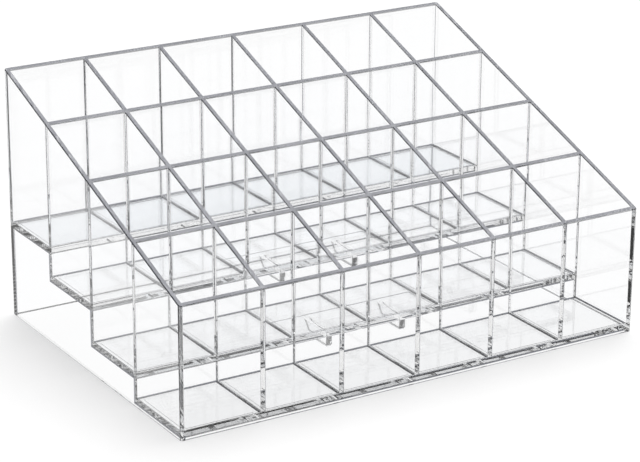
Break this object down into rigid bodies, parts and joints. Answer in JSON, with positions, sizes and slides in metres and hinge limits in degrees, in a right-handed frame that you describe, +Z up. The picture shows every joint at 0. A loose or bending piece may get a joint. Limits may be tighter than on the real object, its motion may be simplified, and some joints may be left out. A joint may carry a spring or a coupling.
{
  "type": "vanity organizer",
  "caption": "Clear stepped vanity organizer: open-topped cells in a grid on floors that step down to the front, under one sloping rim, for lipsticks and small cosmetics.",
  "frame": {"origin": "centre of the footprint on the surface that it stands on", "axes": "+X to the right along the cells of a row, +Y to the tall back, +Z up"},
  "size_m": [0.22, 0.1534, 0.1114],
  "materials": {
    "clear_sheet": "clear colourless polished plastic",
    "clear_floor": "clear polished plastic with a faint cool tint"
  },
  "bodies": {
    "root": {"left_side_panel": "clear_sheet", "right_side_panel": "clear_sheet", "back_panel": "clear_sheet", "front_panel": "clear_sheet", "row_wall_rear": "clear_sheet", "row_wall_middle": "clear_sheet", "row_wall_front": "clear_sheet", "divider_1": "clear_sheet", "divider_2": "clear_sheet", "divider_3": "clear_sheet", "divider_4": "clear_sheet", "divider_5": "clear_sheet", "floor_rib_2_left": "clear_sheet", "floor_rib_2_right": "clear_sheet", "floor_rib_3_left": "clear_sheet", "floor_rib_3_right": "clear_sheet", "tier_floor_1": "clear_floor", "tier_floor_2": "clear_floor", "tier_floor_3": "clear_floor", "tier_floor_4": "clear_floor"}
  },
  "joints": []
}
